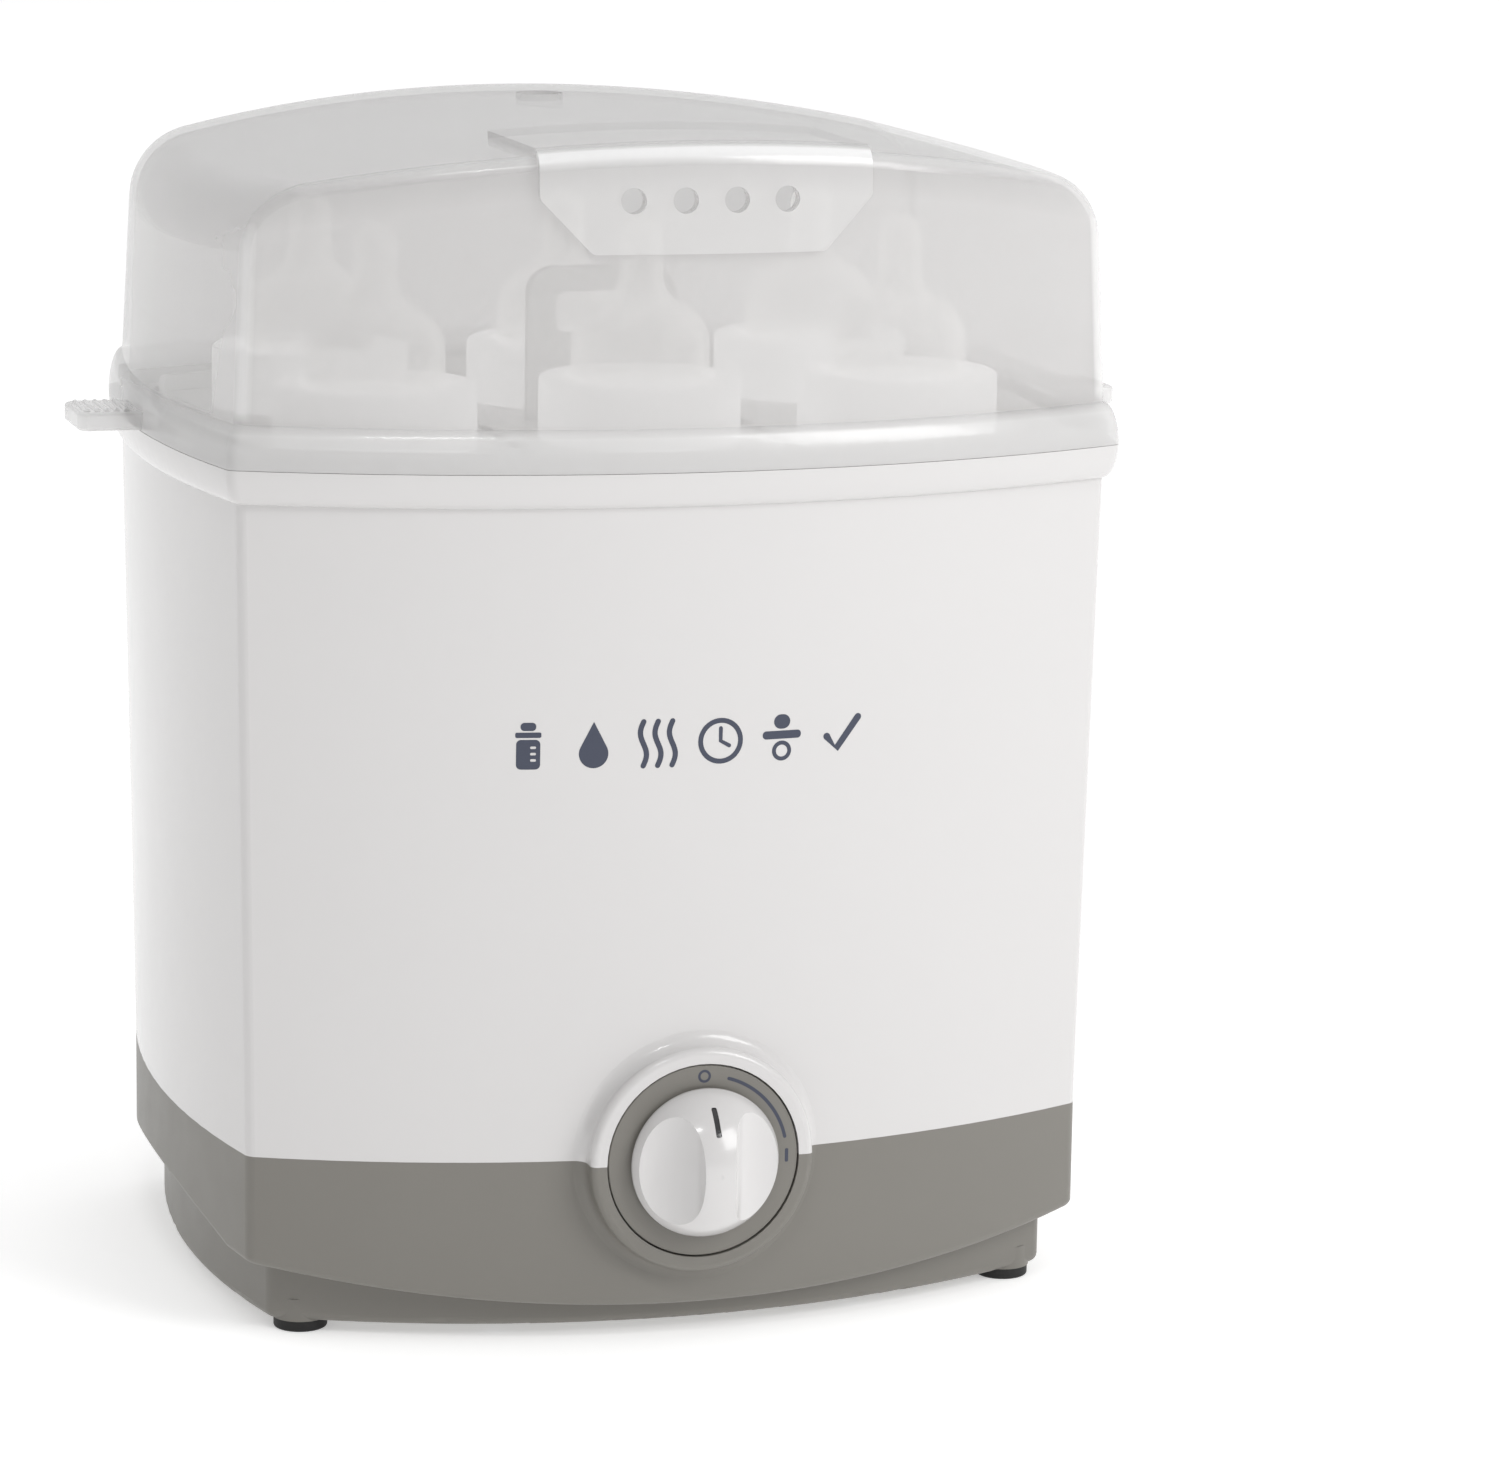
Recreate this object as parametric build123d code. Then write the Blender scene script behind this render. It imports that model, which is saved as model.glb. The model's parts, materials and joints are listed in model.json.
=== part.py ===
from build123d import *
import os
from math import cos, radians, sin, sqrt, tan

# Six-bottle electric steam sterilizer. Millimetres, X is the width, Y the depth and Z up.
# The dial faces -Y. The body is drawn round its own middle and moved back by centre_shift
# when it is written, so that the origin lies under the middle of the whole object's box.

# ---- Body outline: four bulging sides between soft vertical corners ----
corner_x = 138.0
corner_y = 94.0
front_bulge = 31.5
side_bulge = 10.9
corner_round = 5.0
front_apex = corner_y + front_bulge
front_radius = (corner_x**2 + front_bulge**2) / (2 * front_bulge)

# ---- Heights of the stack ----
foot_height = 3.6
plinth_z = 3.9
plinth_top_z = 34.0
seam_z = 60.3
floor_z = 73.0
rim_z = 279.2
top_z = 377.6

# ---- Grey base ----
base_wall = 2.8
plinth_inset = 8.3
band_corner_z = 25.8
band_centre_z = 11.5
side_slope_z = 41.5
band_round = 2.4
foot_x = 118.5
foot_y = 81.5
foot_radius = 8.6
foot_pad_radius = 9.0
foot_stem_radius = 3.3
cover_height = 3.0
cover_screw_head = 1.4
post_radius = 5.0
pilot_radius = 1.4
housing_posts = [(x, y) for x in (-60, 60) for y in (-103.1, 103.1)] + [(-133.1, 0), (133.1, 0)]
tub_posts = [(x, y) for x in (-95, 95) for y in (-68, 68)]
feet = {
    "foot_front_left": (-foot_x, -foot_y),
    "foot_front_right": (foot_x, -foot_y),
    "foot_rear_left": (-foot_x, foot_y),
    "foot_rear_right": (foot_x, foot_y),
}
gland_z = 51.5
gland_radius = 6.5
gland_bore = 3.6

# ---- White shell and chamber tub ----
shell_wall = 2.6
shell_flare = 3.1
bead_height = 11.0
bead_offset = 6.8
rebate_offset = 2.7
flange_height = 3.0
tub_wall = 2.2
tub_floor = 3.0
tub_offset_top = -3.5
tub_offset_floor = -8.0
tub_lip_height = 4.6

# ---- Lid ----
lid_gap = 0.2
lid_z = rim_z + lid_gap
lid_wall = 2.4
lid_lower_wall = 2.8
lid_step_z = 313.0
lid_offset_at_flange = 2.8
lid_flange_height = 12.8
flange_root = 0.4
lid_draft = 3.07
arch_radius = 640.0
arch_corner_radius = 23.0
lid_edge_round = 5.0
badge_proud = 2.4
badge_half_width = 53.0
badge_foot_half_width = 37.0
badge_shoulder_z = 362.8
badge_foot_z = 346.0
badge_back_y = -57.0
vent_radius = 4.0
vent_pitch = 16.3
vent_z = 362.3
top_vent_radius = 8.0
top_vent_y = 82.0
handle_reach = 175.6
handle_width = 30.0
handle_thickness = 6.0
handle_ribs = 5
handle_rib_pitch = 3.2

# ---- Dial ----
dial_z = seam_z
boss_face_y = -132.5
boss_radius = 36.4
boss_rim_round = 2.3
boss_foot_round = 4.4
boss_back_y = -100.0
bezel_radius = 31.0
bezel_gap = 0.45
bezel_flange_radius = 34.5
knob_radius = 24.0
knob_back_y = -133.1
knob_rim_y = -134.9
knob_apex_y = -152.5
crown_rise = knob_rim_y - knob_apex_y
crown_radius = (knob_radius**2 + crown_rise**2) / (2 * crown_rise)
ridge_half_width = 4.6
scoop_radius = 17.0
scoop_y = -155.2
pointer_length = 8.0
pointer_width = 1.8
pointer_height = 16.0
shaft_radius = 3.0
shaft_running_gap = 0.08
switch_screw_places = [(-34, -104), (34, -104)]

# ---- Racks and the load that stands on the upper one ----
column_x = 87.0
row_y = 48.0
collar_radius = 32.5
collar_height = 20.3
collar_wall = 2.6
collar_mouth_radius = 24.4
teat_wall = 1.6
teat_tip_z = 349.0
teat_radius = 21.4
nipple_radius = 6.2
deck_z = 275.0
deck_thickness = 3.0
tray_offset = -8.0
tray_rim_height = 8.5
seat_ring_radius = 27.0
rack_plate_z = 80.0
rack_plate_thickness = 3.0
rack_offset = -14.5
place_window = 42.0
cup_radius = 35.5
cup_wall = 2.0
cup_height = 14.0
cup_gap = 16.0
peg_x = 114.0
peg_y = 70.0
peg_radius = 4.5
end_post_x = 125.0
end_post_half_width = 11.0
grip_half_width = 25.0
grip_thickness = 5.0
grip_top_z = 328.0

# ---- Heater under the tub floor ----
plate_radius = 80.0
plate_thickness = 1.2
gasket_thickness = 1.5
floor_hole_radius = 70.0
clamp_thickness = 2.0
clamp_screw_circle = 75.0
element_radius = 46.0
element_tube_radius = 3.6
plate_underside_z = floor_z + gasket_thickness

centre_shift = (-knob_apex_y - front_apex - bead_offset) / 2


def plan_face(offset, height, rounding=corner_round):
    """Outline of the body grown by offset, lying at the given height."""
    half_x = corner_x + offset
    half_y = corner_y + offset
    front = ThreePointArc((-half_x, -half_y), (0, -half_y - front_bulge), (half_x, -half_y))
    right = ThreePointArc((half_x, -half_y), (half_x + side_bulge, 0), (half_x, half_y))
    back = ThreePointArc((half_x, half_y), (0, half_y + front_bulge), (-half_x, half_y))
    left = ThreePointArc((-half_x, half_y), (-half_x - side_bulge, 0), (-half_x, -half_y))
    outline = make_face(Curve() + [front, right, back, left])
    return Pos(0, 0, height) * fillet(outline.vertices(), rounding)


def prism(offset, bottom, top):
    """Upright block with the body's outline."""
    return extrude(plan_face(offset, bottom), top - bottom)


def flared(bottom_offset, bottom, top_offset, top):
    """Block with the body's outline that grows or shrinks on the way up."""
    return loft([plan_face(bottom_offset, bottom), plan_face(top_offset, top)], ruled=True)


def quarter_round(wall_offset, wall_z, lip_z):
    """Rolled rim: leaves the wall square at wall_z and ends upright at lip_z, as a quarter ellipse."""
    sections = []
    for degrees in (0, 20, 45, 70, 90):
        out = wall_offset + (bead_offset - wall_offset) * sin(radians(degrees))
        height = wall_z + (lip_z - wall_z) * (1 - cos(radians(degrees)))
        sections.append(plan_face(out, height))
    return loft(sections)


def rod(x, y, bottom, top, radius):
    """Upright cylinder."""
    return Pos(x, y, (bottom + top) / 2) * Cylinder(radius, top - bottom)


def rods(places, bottom, top, radius):
    """Upright cylinders at several places."""
    return [rod(x, y, bottom, top, radius) for x, y in places]


def front_rod(front_y, back_y, radius, x=0.0, z=dial_z):
    """Cylinder along Y."""
    turned = Rot(90, 0, 0) * Cylinder(radius, back_y - front_y)
    return Pos(x, (front_y + back_y) / 2, z) * turned


def block(x_span, y_span, z_span):
    """Box from its three pairs of limits."""
    spans = (x_span, y_span, z_span)
    middle = [(low + high) / 2 for low, high in spans]
    size = [high - low for low, high in spans]
    return Pos(*middle) * Box(*size)


def screw(x, y, head_z, shank_top, head_radius=3.4, shank_radius=1.4, head_height=2.2):
    """Pan-head screw driven upwards, its head hanging below head_z."""
    head = rod(x, y, head_z - head_height, head_z, head_radius)
    socket = rod(x, y, head_z - head_height, head_z - head_height / 2, head_radius * 0.4)
    return head - socket + rod(x, y, head_z, shank_top, shank_radius)


def bossed(body):
    """Body block with the round boss that carries the bezel blended into its front."""
    boss = front_rod(boss_face_y, boss_back_y, boss_radius)
    boss = fillet(boss.edges().group_by(Axis.Y)[0], boss_rim_round)
    body += boss
    joint = []
    for edge in body.edges():
        box = edge.bounding_box()
        if abs(box.size.Z - 2 * boss_radius) < 1 and box.min.Y > boss_face_y + boss_rim_round + 1:
            joint.append(edge)
    return fillet(joint, boss_foot_round)


def base_outer():
    """Grey band cut to its swept lower edge, with the lower half of the boss, on the inset plinth."""
    reach = corner_x + side_bulge + 5
    slope_x = corner_x + side_bulge - plinth_inset
    with BuildPart() as keep:
        with BuildSketch(Plane.XZ):
            with BuildLine():
                top = Line((-reach, seam_z), (reach, seam_z))
                right = Line(top @ 1, (reach, side_slope_z))
                right_slope = Line(right @ 1, (slope_x, band_corner_z))
                sweep = ThreePointArc(right_slope @ 1, (0, band_centre_z), (-slope_x, band_corner_z))
                left_slope = Line(sweep @ 1, (-reach, side_slope_z))
                Line(left_slope @ 1, top @ 0)
            make_face()
        extrude(amount=200, both=True)
    band = bossed(prism(0, 0, dial_z + 2 * boss_radius)) & keep.part
    lower = [edge for edge in band.edges() if edge.bounding_box().max.Z < seam_z - 1]
    band = fillet(lower, band_round)
    plinth = prism(-plinth_inset, plinth_z, plinth_top_z)
    plinth = fillet(plinth.edges().group_by(Axis.Z)[0], 3.0)
    return band + plinth


def bezel_seat():
    """Stepped hole behind the boss that traps the bezel's flange."""
    step_y = boss_face_y + 4.1
    bore = front_rod(boss_face_y - 5, step_y, bezel_radius + bezel_gap)
    return bore + front_rod(step_y, -100, bezel_flange_radius + 1.5)


def base_housing():
    inner = -plinth_inset - base_wall
    hollow = prism(inner, 0, 30) + flared(inner, 30, -base_wall, side_slope_z)
    hollow += prism(-base_wall, side_slope_z, seam_z)
    posts = rods(housing_posts, plinth_z + cover_height, 28, post_radius)
    pads = rods(feet.values(), foot_height, 11, foot_pad_radius)
    outer = base_outer()
    housing = outer - hollow
    housing += [post & outer for post in posts]
    housing += pads
    housing -= rods(housing_posts, plinth_z, 24, pilot_radius)
    housing -= rods(feet.values(), 0, 12, foot_stem_radius)
    gland_hole = front_rod(front_apex - 6, front_apex + 2, gland_radius, z=gland_z)
    return housing - bezel_seat() - gland_hole


def base_cover():
    plate = prism(-plinth_inset - base_wall - 0.3, plinth_z, plinth_z + cover_height)
    plate -= rods(feet.values(), 0, 20, foot_pad_radius + 0.4)
    posts = housing_posts + tub_posts
    plate -= rods(posts, plinth_z - 1, plinth_z + cover_screw_head, 3.8)
    plate -= rods(posts, 0, 20, 1.7)
    for row in range(-3, 4):
        for side in (-1, 1):
            plate -= Pos(side * 26, row * 9, plinth_z) * Box(26, 3, 10)
    return plate


def rubber_foot(x, y):
    pad = fillet(rod(x, y, 0, foot_height, foot_radius).edges().group_by(Axis.Z)[0], 0.8)
    return pad + rod(x, y, foot_height, 12.5, foot_stem_radius)


def body_shell():
    """White outer wall with its rolled rim and the upper half of the boss."""
    lean = shell_flare / (rim_z - seam_z)
    above_seam = block((-200, 200), (-200, 200), (seam_z, rim_z))
    outer = bossed(flared(-lean * seam_z, 0, shell_flare, rim_z)) & above_seam
    shell = outer + quarter_round(shell_flare, rim_z - bead_height, rim_z)
    shell -= flared(-shell_wall, seam_z, shell_flare - shell_wall, rim_z - flange_height)
    shell -= prism(rebate_offset, rim_z - flange_height, rim_z)
    return shell - bezel_seat()


def chamber_tub():
    """Drawn liner that hangs in the shell's rim and holds the water and the racks."""
    flange_z = rim_z - flange_height
    outside = flared(tub_offset_floor, floor_z - tub_floor, tub_offset_top, flange_z)
    outside = fillet(outside.edges().group_by(Axis.Z)[0], 4.0)
    flange = prism(rebate_offset - 0.2, flange_z, rim_z)
    lip = prism(rebate_offset - 0.2, rim_z, rim_z + tub_lip_height)
    inside = flared(tub_offset_floor - tub_wall, floor_z, tub_offset_top - tub_wall, flange_z)
    inside = fillet(inside.edges().group_by(Axis.Z)[0], 2.5)
    mouth = prism(tub_offset_top - tub_wall, flange_z, rim_z)
    lip_mouth = prism(rebate_offset - 2.0, rim_z, rim_z + tub_lip_height)
    tub = outside + flange + lip - inside - mouth - lip_mouth
    tub += rods(tub_posts, plinth_z + cover_height, floor_z - tub_floor, post_radius)
    tub -= rods(tub_posts, 0, 30, pilot_radius)
    tub -= rod(0, 0, floor_z - tub_floor, floor_z, floor_hole_radius)
    tub -= rods(switch_screw_places, floor_z - tub_floor, floor_z - 1, pilot_radius)
    return tub - rods(clamp_places(), floor_z - tub_floor, floor_z, 2.2)


def on_circle(radius, count, start=0.0):
    """Points spaced evenly on a circle about the middle."""
    turns = [radians(start + 360 * i / count) for i in range(count)]
    return [(radius * cos(turn), radius * sin(turn)) for turn in turns]


def clamp_places():
    return on_circle(clamp_screw_circle, 6, 30)


def heating_plate():
    top = plate_underside_z + plate_thickness
    plate = rod(0, 0, plate_underside_z, top, plate_radius)
    plate = fillet(plate.edges().group_by(Axis.Z)[-1], 0.8)
    return plate - rod(0, 0, top - 0.6, top, plate_radius - 14)


def heater_gasket():
    ring = rod(0, 0, floor_z, plate_underside_z, plate_radius)
    ring -= rod(0, 0, floor_z, plate_underside_z, floor_hole_radius)
    return ring - rods(clamp_places(), floor_z, plate_underside_z, 2.2)


def plate_clamp():
    top = floor_z - tub_floor
    ring = rod(0, 0, top - clamp_thickness, top, plate_radius - 1)
    ring -= rod(0, 0, top - clamp_thickness, top, floor_hole_radius - 3)
    return ring - rods(clamp_places(), top - clamp_thickness, top, 2.2)


def heating_element():
    """Open ring of sheathed heater under the plate, both ends turned down."""
    ring_z = plate_underside_z - element_tube_radius
    gap = radians(20)
    start = (element_radius * sin(gap), element_radius * cos(gap), ring_z)
    end = (-start[0], start[1], ring_z)
    with BuildPart() as element:
        with BuildLine():
            ThreePointArc(start, (0, -element_radius, ring_z), end)
        with BuildSketch(Plane(origin=start, z_dir=(cos(gap), -sin(gap), 0))):
            Circle(element_tube_radius)
        sweep()
    ends = [(start[0], start[1]), (end[0], end[1])]
    knuckles = [Pos(x, y, ring_z) * Sphere(element_tube_radius) for x, y in ends]
    pins = rods(ends, 58, ring_z, 2.2)
    return element.part + knuckles + pins


def thermostat():
    body = rod(0, 0, 66.5, plate_underside_z, 9.0)
    flange = block((-15, 15), (-5, 5), (70.6, 71.8))
    blades = [block((x - 2.5, x + 2.5), (-0.4, 0.4), (59, 66.5)) for x in (-5, 5)]
    return body + flange + blades


def thermal_fuse():
    tube = Pos(0, -24, plate_underside_z - 3) * Rot(0, 90, 0) * Cylinder(3.0, 16)
    wires = Pos(0, -24, plate_underside_z - 3) * Rot(0, 90, 0) * Cylinder(0.6, 26)
    return tube + wires


def rotary_switch():
    body = fillet(block((-16, 16), (-112, -92), (43, 69)).edges().filter_by(Axis.Y), 2.0)
    bushing = front_rod(-121, -112, 5.2)
    blades = [block((x - 3, x + 3), (-92, -84), (z, z + 0.8)) for x in (-9, 9) for z in (50, 60)]
    return body + bushing + blades - front_rod(-122, -100, shaft_radius + shaft_running_gap)


def switch_bracket():
    """Bent strip that hangs the switch from the tub floor."""
    face = block((-26, 26), (-115, -112), (40, 70))
    shelf = block((-40, -26), (-115, -96), (68, 70)) + block((26, 40), (-115, -96), (68, 70))
    web = block((-30, -24), (-115, -112), (40, 70)) + block((24, 30), (-115, -112), (40, 70))
    bracket = face + shelf + web
    bracket -= front_rod(-116, -111, 5.3)
    return bracket - rods(switch_screw_places, 66, 71, 1.6)


def dial_bezel():
    """Ring the dial turns in front of, with a stepped flange caught behind the boss."""
    step_y = boss_face_y + 4.1
    face = front_rod(boss_face_y + 0.4, step_y, bezel_radius)
    face = fillet(face.edges().group_by(Axis.Y)[0], 0.5)
    flange = front_rod(step_y, step_y + 2, bezel_flange_radius)
    hub = front_rod(step_y + 2, -115, 8.0) - front_rod(-122, -115, 5.3)
    bezel = face + flange + hub
    return bezel - front_rod(-140, -110, shaft_radius + shaft_running_gap)


def control_dial():
    """Round dial with dished sides and an arched grip ridge."""
    with BuildPart() as knob:
        with BuildSketch(Plane.YZ):
            with BuildLine():
                skirt = knob_radius - 0.7
                back = Line((knob_back_y, 0), (knob_back_y, skirt))
                edge = Line(back @ 1, (knob_back_y - 0.7, knob_radius))
                rim = Line(edge @ 1, (knob_rim_y, knob_radius))
                crown = RadiusArc(rim @ 1, (knob_apex_y, 0), -crown_radius)
                Line(crown @ 1, back @ 0)
            make_face()
        revolve(axis=Axis.Y)
    dial = Pos(0, 0, dial_z) * knob.part
    for side in (-1, 1):
        scoop = Pos(side * (ridge_half_width + scoop_radius), scoop_y, dial_z)
        dial -= scoop * Cylinder(scoop_radius, 80)
    dial -= front_rod(-146, knob_back_y, shaft_radius)
    return dial - pointer_slot()


def pointer_slot():
    middle = dial_z + pointer_height
    ends = (middle - pointer_length / 2, middle + pointer_length / 2)
    slot = block((-pointer_width / 2, pointer_width / 2), (-160, -141.5), ends)
    return fillet(slot.edges().filter_by(Axis.Y), 0.6)


def dial_pointer():
    """Dark insert that fills the slot, a little below the ridge."""
    crown = Pos(0, knob_apex_y + crown_radius, dial_z) * Sphere(crown_radius - 0.35)
    return pointer_slot() & crown


def switch_shaft():
    shaft = front_rod(-146, -101, shaft_radius)
    return shaft - block((-4, 4), (-105, -100), (dial_z + 2, dial_z + 4))


def lid_offset(height):
    """How far the lid's wall stands outside the body outline at this height."""
    return lid_offset_at_flange - (height - lid_z - lid_flange_height) * tan(radians(lid_draft))


def side_half_width(y, offset):
    """Half width of the outline at depth y, the side arc carried on past its corners."""
    chord = corner_y + offset
    radius = (chord**2 + side_bulge**2) / (2 * side_bulge)
    return corner_x + offset + side_bulge - radius + sqrt(radius**2 - y**2)


def lid_section(y, inset, bottom):
    """Arched cross-section of the lid at depth y."""
    low = side_half_width(y, lid_offset(bottom)) - inset
    high_z = 400.0
    high = low - (high_z - bottom) * tan(radians(lid_draft))
    sides = Polygon((-low, bottom), (low, bottom), (high, high_z), (-high, high_z), align=None)
    arch = Pos(0, top_z - arch_radius) * Circle(arch_radius - inset)
    section = sides & arch
    shoulders = section.vertices().group_by(Axis.Y)[-1]
    section = fillet(shoulders, arch_corner_radius - inset)
    return Plane.XZ.offset(-y) * section


def lid_form(inset, bottom=lid_z):
    """Lid with its walls moved in by inset: arched across, straight front to back."""
    depths = (-138, -70, 0, 70, 138)
    arch = loft([lid_section(y, inset, bottom).face() for y in depths])
    top = 400.0
    low = front_radius + lid_offset(bottom) - inset
    high = front_radius + lid_offset(top) - inset
    wall_shape = Cone(low, high, top - bottom)
    back_off = front_radius - front_apex
    middle = (bottom + top) / 2
    form = arch & (Pos(0, back_off, middle) * wall_shape) & (Pos(0, -back_off, middle) * wall_shape)
    return form


def rounded_lid_form(inset, edge_round):
    """The lid's form with its front and back outlines softened by one running fillet each."""
    form = lid_form(inset)
    edges = []
    for face in form.faces().filter_by(GeomType.CONE):
        edges += [edge for edge in face.edges() if edge.bounding_box().max.Z > lid_z + 1]
    return fillet(edges, edge_round)


def badge():
    """Raised plain panel that runs over the lid's front edge on to its top."""
    half = badge_half_width
    foot = badge_foot_half_width
    outline = Polygon(
        (-half, 395), (-half, badge_shoulder_z), (-foot, badge_foot_z),
        (foot, badge_foot_z), (half, badge_shoulder_z), (half, 395), align=None,
    )
    outline = fillet(outline.vertices().filter_by_position(Axis.Y, 340, 380), 3.0)
    prism_y = Plane.XZ.offset(-badge_back_y) * outline
    return extrude(prism_y, 90)


def lid_cover():
    outer = rounded_lid_form(0, lid_edge_round)
    raised = rounded_lid_form(-badge_proud, lid_edge_round + badge_proud) & badge()
    flange = quarter_round(lid_offset_at_flange - flange_root, lid_z + lid_flange_height + flange_root, lid_z)
    handles = [lid_handle(side) for side in (-1, 1)]
    upper_hollow = rounded_lid_form(lid_wall, lid_edge_round - lid_wall)
    lower_hollow = lid_form(lid_lower_wall) & block((-200, 200), (-200, 200), (lid_z, lid_step_z))
    above_step = block((-200, 200), (-200, 200), (lid_step_z, 400))
    skirt_hollow = prism(bead_offset - lid_lower_wall, lid_z, lid_z + 6.5)
    lid = outer + raised + flange + handles
    lid = lid - (upper_hollow & above_step) - lower_hollow - skirt_hollow
    for column in (-1.5, -0.5, 0.5, 1.5):
        lid -= front_rod(-150, -100, vent_radius, x=column * vent_pitch, z=vent_z)
    return lid - rod(0, top_vent_y, top_z - 20, top_z + 20, top_vent_radius)


def lid_handle(side):
    """Ribbed finger tab on one end of the lid."""
    root = corner_x + side_bulge + 2
    bottom = lid_z + 0.3
    top = bottom + handle_thickness
    half = handle_width / 2
    tab = block((root, handle_reach), (-half, half), (bottom, top))
    outer_edges = tab.edges().filter_by(Axis.Z).group_by(Axis.X)[-1]
    tab = fillet(outer_edges, 4.0)
    tab = fillet(tab.edges().group_by(Axis.Z)[0] + tab.edges().group_by(Axis.Z)[-1], 1.2)
    for rib in range(handle_ribs):
        x = handle_reach - 3.4 - rib * handle_rib_pitch
        tab += Pos(x, 0, top - 0.2) * Rot(90, 0, 0) * Cylinder(0.95, handle_width - 7)
    return tab if side > 0 else mirror(tab, about=Plane.YZ)


def places():
    """The six bottle places."""
    return [(x, y) for y in (-row_y, row_y) for x in (-column_x, 0, column_x)]


def teat_rack():
    """Upper tray with a seat ring for each collar, steam slots and a slot for the grip."""
    top = deck_z + deck_thickness
    tray = prism(tray_offset, deck_z, deck_z + tray_rim_height)
    tray = fillet(tray.edges().group_by(Axis.Z)[0], 1.5)
    tray -= prism(tray_offset - 1.8, top, deck_z + tray_rim_height)
    for x, y in places():
        tray += rod(x, y, top, top + 4, seat_ring_radius)
        tray -= rod(x, y, deck_z, top + 4, seat_ring_radius - 1.8)
        bar = Box(2 * seat_ring_radius - 2, 3, deck_thickness)
        for turn in (0, 90):
            tray += Pos(x, y, deck_z + deck_thickness / 2) * Rot(0, 0, turn) * bar
        tray += rod(x, y, deck_z, top, 9) - rod(x, y, deck_z, top, 6)
    slots = [block((x - 2, x + 2), (y - 7, y + 7), (deck_z - 1, top + 1))
             for x in (-column_x / 2, column_x / 2) for y in (-76, -57, -38, -19, 0, 19, 38, 57, 76)]
    tray -= slots
    grip = grip_half_width + 0.8
    return tray - block((-grip, grip), (-3.3, 3.3), (deck_z - 1, top + 1))


def bottle_rack():
    """Lower basket: six windowed bottle places with prongs, pegs under it and two end posts."""
    top = rack_plate_z + rack_plate_thickness
    window = place_window / 2
    rack = prism(rack_offset, rack_plate_z, top)
    for x, y in places():
        cup = rod(x, y, top, top + cup_height, cup_radius)
        cup -= rod(x, y, top, top + cup_height, cup_radius - cup_wall)
        gap_z = (top + 1, top + cup_height)
        cup -= [block((x - cup_radius, x + cup_radius), (y - cup_gap / 2, y + cup_gap / 2), gap_z),
                block((x - cup_gap / 2, x + cup_gap / 2), (y - cup_radius, y + cup_radius), gap_z)]
        rack += cup
        rack -= block((x - window, x + window), (y - window, y + window), (rack_plate_z, top))
    for x in (-column_x / 2, column_x / 2):
        for y in (-80, 80):
            rack -= block((x - 10, x + 10), (y - 6, y + 6), (rack_plate_z, top))
    pegs = rods([(x, y) for x in (-peg_x, peg_x) for y in (-peg_y, peg_y)], floor_z, rack_plate_z, peg_radius)
    ends = [block((x - 2.5, x + 2.5), (-end_post_half_width, end_post_half_width), (rack_plate_z, deck_z))
            for x in (-end_post_x, end_post_x)]
    return rack + pegs + ends - grip_tabs()


def grip_tabs():
    """Feet of the grip, pressed into slots of the lower basket."""
    half = grip_thickness / 2
    return [block((x - 8, x + 8), (-half, half), (rack_plate_z, rack_plate_z + rack_plate_thickness))
            for x in (-13, 13)]


def rack_grip():
    """Windowed stem with the finger slot that lifts the basket and the tray on it."""
    half = grip_thickness / 2
    stem = block((-32, 32), (-half, half), (rack_plate_z + rack_plate_thickness, deck_z))
    windows = [block((-22, 22), (-half, half), (z, z + 44)) for z in (98, 156, 214)]
    windows = [fillet(window.edges().filter_by(Axis.Y), 6.0) for window in windows]
    head = block((-grip_half_width, grip_half_width), (-half, half), (deck_z, grip_top_z))
    head = fillet(head.edges().filter_by(Axis.Y).group_by(Axis.Z)[-1], 9.0)
    finger_slot = block((-16, 16), (-half, half), (grip_top_z - 22, grip_top_z - 8))
    finger_slot = fillet(finger_slot.edges().filter_by(Axis.Y), 5.0)
    return stem + grip_tabs() - windows + head - finger_slot


def teat(x, y):
    """Hollow wide-neck teat with its flange under the collar."""
    base = deck_z + deck_thickness + collar_height - 4.1
    tip_z = teat_tip_z - teat_wall / 2
    skirt = Line((teat_radius, base), (teat_radius, base + 14))
    shoulder = TangentArc(skirt @ 1, (13.0, base + 26.5), tangent=skirt % 1)
    neck = TangentArc(shoulder @ 1, (nipple_radius, base + 36.6), tangent=shoulder % 1)
    nipple = Line(neck @ 1, (nipple_radius, tip_z - nipple_radius))
    tip = RadiusArc(nipple @ 1, (0, tip_z), -nipple_radius)
    section = trace(Curve() + [skirt, shoulder, neck, nipple, tip], teat_wall)
    section -= Pos(-50, 300) * Rectangle(100, 600)
    shell = revolve(Plane.XZ * section, axis=Axis.Z)
    flange = rod(0, 0, base, base + 1.9, 28.5) - rod(0, 0, base, base + 1.9, teat_radius)
    return Pos(x, y, 0) * (shell + flange)


def collar(x, y):
    """Screw ring that clamps a teat to its bottle."""
    bottom = deck_z + deck_thickness
    top = bottom + collar_height
    ring = rod(x, y, bottom, top, collar_radius)
    ring = fillet(ring.edges().group_by(Axis.Z)[-1], 2.2)
    ring -= rod(x, y, bottom, top - 2.2, collar_radius - collar_wall)
    return ring - rod(x, y, top - 2.2, top, collar_mouth_radius)


def terminal_block():
    body = block((30, 66), (78, 94), (plinth_z + cover_height, 22))
    body -= [block((x - 3.4, x + 3.4), (76, 81), (12, 19)) for x in (37, 48, 59)]
    return body - rods([(37, 86), (48, 86), (59, 86)], 14, 23, 2.0)


def terminal_screws():
    return [rod(x, 86, 14, 20.5, 1.9) for x in (37, 48, 59)]


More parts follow.
